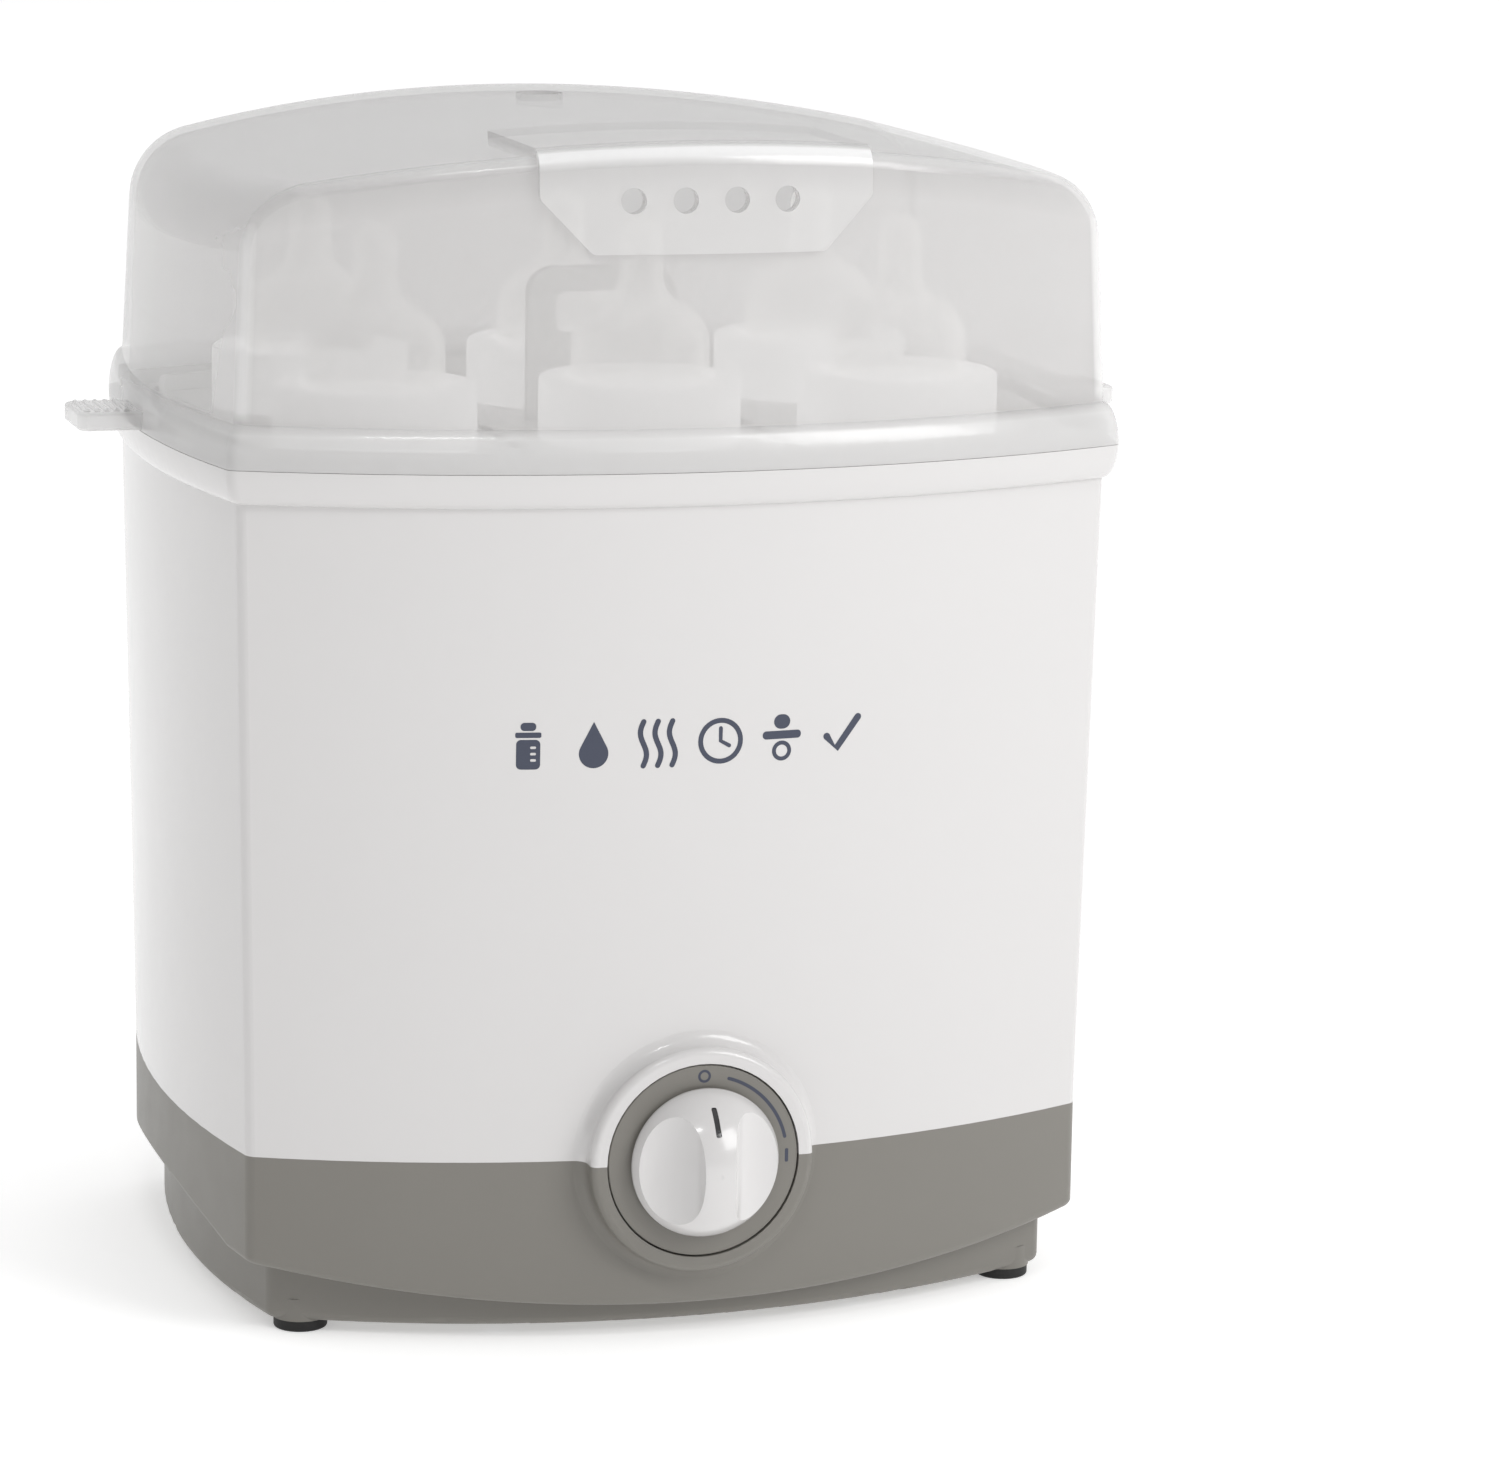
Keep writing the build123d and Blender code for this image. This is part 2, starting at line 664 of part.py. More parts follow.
def cord_gland():
    """Rubber grommet in the back of the base; the supply cord itself is left out."""
    inner_end = front_apex - 5.2
    outer_end = front_apex + 2.4
    gland = front_rod(inner_end, outer_end, gland_radius, z=gland_z)
    gland += front_rod(front_apex, outer_end, gland_radius + 1.9, z=gland_z)
    gland += front_rod(inner_end, front_apex - 3.1, gland_radius + 0.9, z=gland_z)
    return gland - front_rod(inner_end, outer_end, gland_bore, z=gland_z)


def lead(points, bend, radius=1.2):
    """Round wire through the points, every corner turned with the same bend."""
    path = FilletPolyline(*points, radius=bend)
    start = Plane(origin=path @ 0, z_dir=path % 0)
    return sweep(start * Circle(radius), path=path)


def leads():
    """Internal wires, from blade to blade."""
    blade_z = 50.4
    pin_x = element_radius * sin(radians(20))
    pin_y = element_radius * cos(radians(20))
    clamp_x, clamp_y = clamp_places()[0]
    entry_y = 80.5
    entry_z = 15.5
    return {
        "live_lead": lead([(9, -84, blade_z), (9, -60, blade_z), (37, -30, 30),
                           (37, 40, entry_z), (37, entry_y, entry_z)], 8),
        "switch_lead": lead([(-9, -84, blade_z), (-9, -50, blade_z), (-5, -20, 48),
                             (-5, 0, 48), (-5, 0, 59)], 5),
        "heater_lead": lead([(5, 0, 59), (5, 0, 48), (5, 30, 46),
                             (pin_x, pin_y, 46), (pin_x, pin_y, 58)], 4),
        "neutral_lead": lead([(-pin_x, pin_y, 58), (-pin_x, pin_y, 40), (10, 55, 24),
                              (48, 62, entry_z), (48, entry_y, entry_z)], 5),
        "earth_lead": lead([(clamp_x, clamp_y, 65.8), (clamp_x, clamp_y, 40),
                            (59, 60, entry_z), (59, entry_y, entry_z)], 5),
    }


def assembly():
    """Every node of the sterilizer by name."""
    head_z = plinth_z + cover_screw_head
    nodes = {
        "base_housing": base_housing(),
        "base_cover": base_cover(),
        "cover_screws": [screw(x, y, head_z, 22, head_height=cover_screw_head) for x, y in housing_posts],
        "tub_screws": [screw(x, y, head_z, 28, head_height=cover_screw_head) for x, y in tub_posts],
        "body_shell": body_shell(),
        "chamber_tub": chamber_tub(),
        "heating_plate": heating_plate(),
        "heater_gasket": heater_gasket(),
        "plate_clamp": plate_clamp(),
        "clamp_screws": [screw(x, y, floor_z - tub_floor - clamp_thickness, plate_underside_z, 3.6, 2.0)
                         for x, y in clamp_places()],
        "heating_element": heating_element(),
        "thermostat": thermostat(),
        "thermal_fuse": thermal_fuse(),
        "rotary_switch": rotary_switch(),
        "switch_bracket": switch_bracket(),
        "switch_screws": [screw(x, y, 68, 72) for x, y in switch_screw_places],
        "dial_bezel": dial_bezel(),
        "terminal_block": terminal_block(),
        "terminal_screws": terminal_screws(),
        "cord_gland": cord_gland(),
        "control_dial": control_dial(),
        "dial_pointer": dial_pointer(),
        "switch_shaft": switch_shaft(),
        "bottle_rack": bottle_rack(),
        "rack_grip": rack_grip(),
        "teat_rack": teat_rack(),
        "lid_cover": lid_cover(),
    }
    nodes.update(leads())
    for name, (x, y) in feet.items():
        nodes[name] = rubber_foot(x, y)
    for number, (x, y) in enumerate(places(), start=1):
        nodes[f"collar_{number}"] = collar(x, y)
        nodes[f"teat_{number}"] = teat(x, y)
    return nodes


os.makedirs("parts", exist_ok=True)
for node_name, shape in assembly().items():
    solids = shape if isinstance(shape, list) else shape.solids()
    moved = [Pos(0, centre_shift, 0) * solid for solid in solids]
    export_step(Compound(children=moved) if len(moved) > 1 else moved[0], f"parts/{node_name}.step")
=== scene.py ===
import json
import math

import bmesh
import bpy
from mathutils import Matrix, Vector
from mathutils.bvhtree import BVHTree


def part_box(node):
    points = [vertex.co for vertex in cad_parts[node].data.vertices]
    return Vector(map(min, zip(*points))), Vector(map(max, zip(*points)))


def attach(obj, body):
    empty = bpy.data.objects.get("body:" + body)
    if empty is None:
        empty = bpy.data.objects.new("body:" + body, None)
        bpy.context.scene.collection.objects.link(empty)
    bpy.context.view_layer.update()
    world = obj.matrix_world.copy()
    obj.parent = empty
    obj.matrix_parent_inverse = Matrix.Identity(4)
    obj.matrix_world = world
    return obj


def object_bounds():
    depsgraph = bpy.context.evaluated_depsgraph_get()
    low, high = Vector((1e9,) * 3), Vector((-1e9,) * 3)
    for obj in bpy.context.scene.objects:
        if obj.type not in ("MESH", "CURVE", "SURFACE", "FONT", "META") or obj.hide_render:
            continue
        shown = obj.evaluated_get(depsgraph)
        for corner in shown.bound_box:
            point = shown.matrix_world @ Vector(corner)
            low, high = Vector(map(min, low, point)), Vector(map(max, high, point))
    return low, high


bl_info = {
    "name": "Steam Sterilizer",
    "version": (1, 0, 0),
    "blender": (4, 5, 0),
    "location": "3D View > Sidebar > Sterilizer",
    "description": "Finishes and printed details of a six-bottle steam sterilizer",
    "category": "Object",
}

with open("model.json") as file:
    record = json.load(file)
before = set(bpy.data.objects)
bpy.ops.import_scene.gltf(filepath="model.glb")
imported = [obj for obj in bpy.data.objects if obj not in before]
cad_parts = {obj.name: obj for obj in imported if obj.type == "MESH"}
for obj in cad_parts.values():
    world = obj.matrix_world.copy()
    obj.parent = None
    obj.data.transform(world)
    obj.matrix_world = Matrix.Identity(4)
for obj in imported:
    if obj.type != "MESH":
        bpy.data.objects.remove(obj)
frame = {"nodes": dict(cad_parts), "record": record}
nodes = frame["nodes"]
cad_low, cad_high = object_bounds()

MM = 0.001
lid_low, lid_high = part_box("lid_cover")
bezel_low, bezel_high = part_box("dial_bezel")
body_y = (lid_low.y + lid_high.y) / 2
dial_z = (bezel_low.z + bezel_high.z) / 2


def bow_radius(half_chord, rise):
    """Radius of the arc that rises by this much over a chord."""
    return (half_chord**2 + rise**2) / (2 * rise)


# The lid's surfaces, which its finish follows: four bowed walls that lean in, and an arched top.
corner_x = 138.0 * MM
corner_y = 94.0 * MM
bead_reach = 6.8 * MM
half_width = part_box("base_housing")[1].x
half_depth = (lid_high.y - lid_low.y) / 2 - bead_reach
front_radius = bow_radius(corner_x, half_depth - corner_y)
side_radius = bow_radius(corner_y, half_width - corner_x)
arch_radius = 640.0 * MM
panel_proud = 2.4 * MM
panel_foot_z = 344.0 * MM
lid_top = lid_high.z - panel_proud
lid_flange_z = lid_low.z + 12.8 * MM
lid_flange_offset = 2.8 * MM
lid_draft = math.radians(3.07)
edge_reach = 4.5 * MM


# ---------------------------------------------------------------- finishes

class Value:
    """A number or colour socket, so that shader maths reads as arithmetic."""

    def __init__(self, shading, socket):
        self.shading = shading
        self.socket = socket

    def _math(self, operation, first, second):
        return self.shading.node("ShaderNodeMath", {"operation": operation}, {0: first, 1: second})

    def __add__(self, other):
        return self._math("ADD", self, other)

    def __radd__(self, other):
        return self._math("ADD", other, self)

    def __sub__(self, other):
        return self._math("SUBTRACT", self, other)

    def __rsub__(self, other):
        return self._math("SUBTRACT", other, self)

    def __mul__(self, other):
        return self._math("MULTIPLY", self, other)

    def __rmul__(self, other):
        return self._math("MULTIPLY", other, self)

    def __neg__(self):
        return 0.0 - self

    def absolute(self):
        return self.shading.node("ShaderNodeMath", {"operation": "ABSOLUTE"}, {0: self})

    def clamped(self):
        """Held between 0 and 1."""
        return self.shading.node("ShaderNodeClamp", {}, {"Value": self})


class Shading:
    """A node tree that is filled through one method."""

    def __init__(self, tree):
        self.tree = tree

    def node(self, kind, settings, sockets, output=0):
        """Add a node: settings first, then the values or links of its sockets."""
        made = self.tree.nodes.new(kind)
        for name, value in settings.items():
            setattr(made, name, value)
        for name, value in sockets.items():
            if isinstance(value, Value):
                self.tree.links.new(value.socket, made.inputs[name])
            else:
                made.inputs[name].default_value = value
        return Value(self, made.outputs[output])


class Finish(Shading):
    """One material: constants sit on the shader's own sockets, varying values are linked."""

    def __init__(self, name, **constants):
        self.material = bpy.data.materials.new(name)
        self.material.use_nodes = True
        super().__init__(self.material.node_tree)
        self.shader = self.tree.nodes["Principled BSDF"]
        for socket, value in constants.items():
            self.shader.inputs[socket.replace("_", " ")].default_value = value

    def place(self):
        """Position on the piece, in metres."""
        return self.node("ShaderNodeTexCoord", {}, {}, output="Object")

    def axes(self):
        """The three parts of the position."""
        split = self.node("ShaderNodeSeparateXYZ", {}, {"Vector": self.place()}).socket.node
        return [Value(self, output) for output in split.outputs]

    def noise(self, scale, detail=3.0, roughness=0.55, stretch=None):
        """Soft cloud from 0 to 1, scale in features per metre."""
        where = self.place()
        if stretch:
            where = self.node("ShaderNodeVectorMath", {"operation": "MULTIPLY"}, {0: where, 1: stretch})
        sockets = {"Vector": where, "Scale": scale, "Detail": detail, "Roughness": roughness}
        return self.node("ShaderNodeTexNoise", {}, sockets)

    def colour(self, factor, first, second):
        """Blend of two colours, each a triple or the result of another node."""
        first, second = (end if isinstance(end, Value) else (*end, 1.0) for end in (first, second))
        # A Mix node's colour sockets share their names with others, so they go by number.
        return self.node("ShaderNodeMix", {"data_type": "RGBA"}, {0: factor, 6: first, 7: second}, output=2)

    def facing(self, blend):
        """0 where the surface is seen square on, rising to 1 at its outline."""
        return self.node("ShaderNodeLayerWeight", {}, {"Blend": blend}, output="Facing")

    def feed(self, socket, value):
        self.tree.links.new(value.socket, self.shader.inputs[socket])

    def bump(self, height, distance):
        """Raise the surface by height times distance, in metres."""
        self.feed("Normal", self.node("ShaderNodeBump", {}, {"Height": height, "Distance": distance}))


def darkened(colour, share):
    """The colour with this share of its light taken away."""
    return tuple(channel * (1 - share) for channel in colour)


def moulded(name, colour, roughness, grain=2200.0, depth=0.02 * MM, shade=0.03, **constants):
    """Moulded plastic: fine surface grain, a little cloudiness in colour and in gloss."""
    finish = Finish(name, IOR=1.49, **constants)
    cloud = finish.noise(18.0, detail=2.0)
    finish.feed("Base Color", finish.colour(cloud, darkened(colour, shade), colour))
    finish.feed("Roughness", roughness * 0.85 + finish.noise(60.0) * (roughness * 0.3))
    finish.bump(finish.noise(grain, detail=2.0), depth)
    return finish.material


def metal(name, colour, roughness, stretch=None):
    """Bare metal with drawn or rolled streaks."""
    finish = Finish(name, Metallic=1.0)
    streaks = finish.noise(900.0, detail=4.0, stretch=stretch)
    finish.feed("Base Color", finish.colour(streaks, darkened(colour, 0.18), colour))
    finish.feed("Roughness", roughness * 0.7 + streaks * (roughness * 0.6))
    finish.bump(streaks, 0.01 * MM)
    return finish.material


def closeness(distance, reach):
    """1 on a surface, falling to 0 at reach metres from it."""
    return (1 - distance * (1 / reach)).clamped()


def rising(distance, start, reach):
    """0 up to start, climbing to 1 over the next reach metres."""
    return ((distance - start) * (1 / reach)).clamped()


def sagitta(along, radius):
    """How far an arc has dropped behind its crown, this far along it."""
    return along * along * (0.5 / radius)


def lid_zones(finish):
    """Masks of the lid's outer edges (a painted highlight line), its raised panel, its rolled flange
    (painted light) and its top (painted shade).
    """
    x, y, z = finish.axes()
    inward = (z - lid_flange_z) * math.tan(lid_draft) - lid_flange_offset
    x, y = x.absolute(), (y - body_y).absolute()
    front_depth = half_depth - sagitta(x, front_radius) - y - inward
    side_depth = half_width - sagitta(y, side_radius) - x - inward
    top_depth = lid_top - sagitta(x, arch_radius) - z
    walls = closeness(front_depth, edge_reach) + closeness(side_depth, edge_reach)
    # Painted highlight: this mask of the rounded outer edges is later made near-white, standing in for the
    # bright line of reflected light along them.
    edges = (walls + closeness(top_depth, edge_reach) - 1).clamped()
    proud_front = rising(-front_depth, 0.67 * MM, 1.11 * MM)
    proud_top = rising(-top_depth, 0.67 * MM, 1.11 * MM)
    edges = edges * rising(z, lid_flange_z, 4 * MM) * (1 - proud_top * 0.75)
    panel = proud_front * rising(z, panel_foot_z, 2 * MM)
    # Painted light: the rolled flange is made near-white and denser so that it reads bright.
    flange = rising(lid_flange_z - z, -1 * MM, 3.33 * MM)
    return edges, panel, flange, closeness(top_depth, 3 * edge_reach)


def frosted_lid(look):
    """Milky clear plastic: part of the light goes straight through. Near the edges and the flange it is
    denser and near-white, partly for the longer path through the plastic and partly as a painted highlight
    and painted light; the top is painted darker as painted shade.
    """
    finish = Finish("frosted_lid", IOR=1.49, Specular_IOR_Level=0.8, Coat_Weight=0.4, Coat_Roughness=0.06)
    cloud = finish.noise(14.0, detail=2.0)
    edges, panel, flange, top = lid_zones(finish)
    # Near-white and denser where these masks lie: partly the denser edge-on plastic, partly a painted
    # highlight on the edges and painted light on the flange; the raised panel is made slightly whiter and
    # denser.
    density_and_painted_light = (edges + panel * 0.22 + flange * 0.4).clamped()
    colour = tuple(look.lid_colour)
    # Painted shade: the colour darkens by up to a fifth towards the lid's top.
    shaded_top_colour = finish.colour(top, colour, darkened(colour, 0.2))
    finish.feed("Base Color", finish.colour(density_and_painted_light, shaded_top_colour, (0.95, 0.95, 0.95)))
    finish.feed("Roughness", 0.2 + finish.noise(60.0) * 0.06)
    finish.feed("Alpha", look.lid_opacity - 0.02 + cloud * 0.04 + density_and_painted_light * look.edge_opacity)
    finish.bump(finish.noise(45.0, detail=1.0), 0.04 * MM)
    return finish.material


def silicone():
    """Clear soft silicone of the teats, denser where it is seen edge on."""
    # The constant white emission is painted light: the teats glow so that they stay bright where the lid
    # shades them.
    finish = Finish("silicone", IOR=1.41, Coat_Weight=0.5, Coat_Roughness=0.12,
                    Emission_Color=(1, 1, 1, 1), Emission_Strength=0.28)
    cloud = finish.noise(90.0)
    finish.feed("Base Color", finish.colour(cloud, (0.84, 0.83, 0.81), (0.90, 0.89, 0.88)))
    finish.feed("Roughness", 0.24 + finish.noise(200.0) * 0.1)
    finish.feed("Alpha", 0.16 + cloud * 0.04 + finish.facing(0.3) * 0.5)
    return finish.material


def make_finishes(look):
    """Every material by the record's slot name."""
    grey = tuple(look.base_colour)
    white = tuple(look.body_colour)
    return {
        "grey_plastic": moulded("grey_satin", grey, 0.42, grain=3200.0, depth=0.03 * MM, shade=0.05),
        "white_gloss": moulded("white_gloss", white, 0.2, grain=260.0, depth=0.012 * MM, shade=0.015,
                               Coat_Weight=0.25, Coat_Roughness=0.05),
        "liner_plastic": moulded("liner_white", (0.78, 0.78, 0.77), 0.4),
        "lid_frosted": frosted_lid(look),
        "rack_plastic": moulded("rack_white", (0.80, 0.80, 0.79), 0.38),
        # The collars' constant white emission is painted light: they glow so that they stay bright under the
        # lid's shade.
        "collar_plastic": moulded("collar_white", (0.87, 0.87, 0.87), 0.3, Emission_Color=(1, 1, 1, 1),
                                  Emission_Strength=0.32),
        "silicone": silicone(),
        "foot_rubber": moulded("foot_rubber", (0.008, 0.008, 0.008), 0.6, grain=1500.0, depth=0.06 * MM),
        "gasket_rubber": moulded("gasket_red", (0.32, 0.05, 0.03), 0.55),
        "stainless_plate": metal("plate_steel", (0.60, 0.60, 0.61), 0.3, stretch=(1.0, 30.0, 1.0)),
        "zinc_steel": metal("zinc_steel", (0.55, 0.56, 0.58), 0.36),
        "screw_steel": metal("screw_steel", (0.50, 0.50, 0.51), 0.3),
        "heater_sheath": metal("heater_sheath", (0.42, 0.40, 0.38), 0.45),
        "switch_black": moulded("switch_black", (0.02, 0.02, 0.02), 0.4),
        "terminal_plastic": moulded("terminal_cream", (0.60, 0.55, 0.44), 0.42),
        "terminal_brass": metal("terminal_brass", (0.66, 0.48, 0.20), 0.28),
        "pointer_dark": moulded("pointer_smoke", (0.02, 0.02, 0.022), 0.12, Coat_Weight=0.6),
        "lead_brown": moulded("lead_brown", (0.12, 0.05, 0.025), 0.4),
        "lead_red": moulded("lead_red", (0.42, 0.02, 0.015), 0.4),
        "lead_blue": moulded("lead_blue", (0.02, 0.07, 0.32), 0.4),
        "lead_green": moulded("lead_green", (0.06, 0.28, 0.06), 0.4),
    }


finish_shelf = {}


def finishes_of(look):
    """The finishes, made once."""
    if not finish_shelf:
        finish_shelf.update(make_finishes(look))
    return finish_shelf


def paint(node_names, finishes):
    """Give CAD nodes the finish of their material slot."""
    slots = {row["node"]: row["material_slot"] for row in frame["record"]["subparts"]}
    for name in node_names:
        materials = nodes[name].data.materials
        materials.clear()
        materials.append(finishes[slots[name]])


def ink(name, colour):
    """Printed ink."""
    return moulded(name, colour, 0.35, grain=1200.0, depth=0.005 * MM)


# ---------------------------------------------------------------- outlines, in millimetres

def circle(x, y, radius, steps=40):
    """Closed round outline."""
    turns = [2 * math.pi * i / steps for i in range(steps)]
    return [(x + radius * math.cos(turn), y + radius * math.sin(turn)) for turn in turns]


def rounded_box(left, bottom, right, top, radius, steps=6):
    """Rectangle with round corners, anticlockwise."""
    corners = ((right - radius, top - radius, 0), (left + radius, top - radius, 90),
               (left + radius, bottom + radius, 180), (right - radius, bottom + radius, 270))
    points = []
    for x, y, start in corners:
        for i in range(steps + 1):
            turn = math.radians(start + 90 * i / steps)
            points.append((x + radius * math.cos(turn), y + radius * math.sin(turn)))
    return points


def arc(radius, start, end, steps=36):
    """Path along a clock-face arc, angles in degrees clockwise from the top."""
    turns = [math.radians(start + (end - start) * i / steps) for i in range(steps + 1)]
    return [(radius * math.sin(turn), radius * math.cos(turn)) for turn in turns]


def wave(x, bottom, top, swing, steps=24):
    """S-shaped path of a wisp of steam."""
    shares = [i / steps for i in range(steps + 1)]
    return [(x + swing * math.sin(2 * math.pi * share), bottom + (top - bottom) * share) for share in shares]


def round_end(centre, start, half, steps=6):
    """Half circle from a stroke's left side round its end."""
    first = math.atan2(start[1] - centre[1], start[0] - centre[0])
    turns = [first - math.pi * i / steps for i in range(1, steps)]
    return [(centre[0] + half * math.cos(turn), centre[1] + half * math.sin(turn)) for turn in turns]


def stroke(path, width):
    """Outline of a line of even width along a path, with round ends."""
    half = width / 2
    left, right = [], []
    for i, (x, y) in enumerate(path):
        ahead = path[min(i + 1, len(path) - 1)]
        behind = path[max(i - 1, 0)]
        along = Vector((ahead[0] - behind[0], ahead[1] - behind[1])).normalized()
        left.append((x - along.y * half, y + along.x * half))
        right.append((x + along.y * half, y - along.x * half))
    return left + round_end(path[-1], left[-1], half) + right[::-1] + round_end(path[0], right[0], half)


def bottle_icon(x):
    """Bottle with its collar, its cap and three measuring lines."""
    body = rounded_box(x - 3.7, -7.4, x + 3.7, 2.0, 1.5)
    collar = rounded_box(x - 4.0, 2.6, x + 4.0, 4.3, 0.5)
    cap = rounded_box(x - 2.4, 4.8, x + 2.4, 7.4, 1.2)
    lines = [rounded_box(x + 0.6, low, x + 2.4, low + 0.8, 0.35) for low in (-4.9, -2.9, -0.9)]
    return [body, collar, cap, *lines]


def drop_icon(x):
    """Water drop: a round belly that narrows to a point."""
    belly, low, high, steps = 4.6, -2.7, 7.4, 30
    reach = math.acos(belly / (high - low))
    points = []
    for i in range(steps + 1):
        turn = math.pi / 2 + reach + (2 * math.pi - 2 * reach) * i / steps
        points.append((x + belly * math.cos(turn), low + belly * math.sin(turn)))
    return [points + [(x, high)]]


def steam_icon(x):
    """Three wisps of steam."""
    return [stroke(wave(x + shift, -7.0, 7.0, 1.0), 1.7) for shift in (-4.6, 0.0, 4.6)]


def clock_icon(x):
    """Clock ring with two hands."""
    hands = stroke([(x, 4.0), (x, 0.0), (x + 2.8, -1.6)], 1.3)
    return [circle(x, 0, 7.3), circle(x, 0, 5.7), hands]


def soother_icon(x):
    """Soother: teat, shield and ring."""
    shield = rounded_box(x - 6.4, -0.4, x + 6.4, 2.2, 1.2)
    teat = rounded_box(x - 2.7, 2.8, x + 2.7, 7.4, 2.3)
    return [shield, teat, circle(x, -4.2, 3.2), circle(x, -4.2, 1.9)]


def tick_icon(x):
    """Tick."""
    return [stroke([(x - 5.0, -0.6), (x - 1.6, -4.6), (x + 5.6, 5.0)], 2.3)]


def dial_marks(radius):
    """Off ring at the top, on bar at the right, and the arc that joins them."""
    off_ring = [circle(0, radius, 2.1), circle(0, radius, 1.3)]
    on_bar = rounded_box(radius - 0.55, -2.2, radius + 0.55, 2.2, 0.4)
    return [*off_ring, stroke(arc(radius, 17, 77), 1.1), on_bar]


# ---------------------------------------------------------------- printing

def flat_shape(name, outlines):
    """Filled flat mesh from closed outlines; an outline inside another is a hole."""
    curve = bpy.data.curves.new(name, "CURVE")
    curve.dimensions = "2D"
    curve.fill_mode = "BOTH"
    for outline in outlines:
        spline = curve.splines.new("POLY")
        spline.points.add(len(outline) - 1)
        for point, (x, y) in zip(spline.points, outline):
            point.co = (x * MM, y * MM, 0, 1)
        spline.use_cyclic_u = True
    holder = bpy.data.objects.new(name, curve)
    bpy.context.scene.collection.objects.link(holder)
    bpy.context.view_layer.update()
    mesh = bpy.data.meshes.new_from_object(holder.evaluated_get(bpy.context.evaluated_depsgraph_get()))
    bpy.data.objects.remove(holder)
    mesh.name = name
    return mesh


def lay_on_front(name, outlines, target, centre_x, centre_z, proud, body):
    """Wrap a flat shape on the target's -Y side, a hair proud of it."""
    mesh = flat_shape(name, outlines)
    skin = BVHTree.FromObject(target, bpy.context.evaluated_depsgraph_get())
    work = bmesh.new()
    work.from_mesh(mesh)
    strip = 2 * MM
    cuts = int(max(abs(vert.co.x) for vert in work.verts) / strip) + 1
    for i in range(-cuts, cuts + 1):
        everything = work.verts[:] + work.edges[:] + work.faces[:]
        bmesh.ops.bisect_plane(work, geom=everything, plane_co=(i * strip, 0, 0), plane_no=(1, 0, 0))
    before_front = cad_low.y - 0.1
    for vert in work.verts:
        start = Vector((centre_x + vert.co.x, before_front, centre_z + vert.co.y))
        hit = skin.ray_cast(start, Vector((0, 1, 0)))[0]
        if hit is None:
            raise RuntimeError(f"{name} runs off the surface it is printed on")
        vert.co = hit + Vector((0, -proud, 0))
    bmesh.ops.recalc_face_normals(work, faces=work.faces)
    if sum(face.normal.y * face.calc_area() for face in work.faces) > 0:
        bmesh.ops.reverse_faces(work, faces=work.faces)
    work.to_mesh(mesh)
    work.free()
    piece = bpy.data.objects.new(name, mesh)
    bpy.context.scene.collection.objects.link(piece)
    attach(piece, body)
    return piece


# ---------------------------------------------------------------- stage

def area_light(name, place, size, size_y, power):
    """Soft rectangular light at place, turned to the middle of the body."""
    data = bpy.data.lights.new(name, "AREA")
    data.shape = "RECTANGLE"
    data.size = size
    data.size_y = size_y
    data.energy = power
    lamp = bpy.data.objects.new(name, data)
    lamp.location = place
    lamp.rotation_euler = (Vector((0, body_y, 0.2)) - Vector(place)).to_track_quat("-Z", "Y").to_euler()
    bpy.context.scene.collection.objects.link(lamp)


def lay_floor():
    """Pale plain floor that also lightens the shadow on it."""
    reach = 6.0
    mesh = bpy.data.meshes.new("floor")
    corners = [(-reach, -reach, 0), (reach, -reach, 0), (reach, reach, 0), (-reach, reach, 0)]
    mesh.from_pydata(corners, [], [(0, 1, 2, 3)])
    floor = bpy.data.objects.new("floor", mesh)
    bpy.context.scene.collection.objects.link(floor)
    paper = Finish("paper", Base_Color=(0.92, 0.92, 0.92, 1), Roughness=0.9, Specular_IOR_Level=0.0,
                   Emission_Color=(1, 1, 1, 1), Emission_Strength=0.4)
    mesh.materials.append(paper.material)


def light_surround(scene):
    """White surround, brighter behind and to the right of the piece than before it."""
    world = bpy.data.worlds.new("surround")
    scene.world = world
    world.use_nodes = True
    shading = Shading(world.node_tree)
    direction = shading.node("ShaderNodeTexCoord", {}, {}, output="Generated")
    brighter_side = {0: direction, 1: (0.5, 0.75, 0.5)}
    along = shading.node("ShaderNodeVectorMath", {"operation": "DOT_PRODUCT"}, brighter_side, output="Value")
    gradient = {"Value": along, "From Min": -0.9, "From Max": 0.7, "To Min": 0.2, "To Max": 0.85}
    light = shading.node("ShaderNodeMapRange", {}, gradient)
    seen = shading.node("ShaderNodeLightPath", {}, {}, output="Is Camera Ray")
    strength = shading.node("ShaderNodeMath", {"operation": "MAXIMUM"}, {0: light, 1: seen})
    back = world.node_tree.nodes["Background"]
    back.inputs["Color"].default_value = (1, 1, 1, 1)
    world.node_tree.links.new(strength.socket, back.inputs["Strength"])


def aim_camera(scene, stage):
    """Camera on a sphere round the point it looks at."""
    data = bpy.data.cameras.new("camera")
    data.sensor_width = 36.0
    data.lens = stage.lens
    camera = bpy.data.objects.new("camera", data)
    scene.collection.objects.link(camera)
    turn, tilt = stage.azimuth, stage.elevation
    back = Vector((-math.sin(turn) * math.cos(tilt), -math.cos(turn) * math.cos(tilt), math.sin(tilt)))
    right = Vector((math.cos(turn), -math.sin(turn), 0))
    level = Matrix((right, back.cross(right), back)).transposed()
    rolled = level @ Matrix.Rotation(stage.roll, 3, "Z")
    place = Vector((stage.aim_x, body_y, stage.aim_z)) + back * stage.distance
    camera.matrix_world = Matrix.Translation(place) @ rolled.to_4x4()
    scene.camera = camera


# ---------------------------------------------------------------- properties

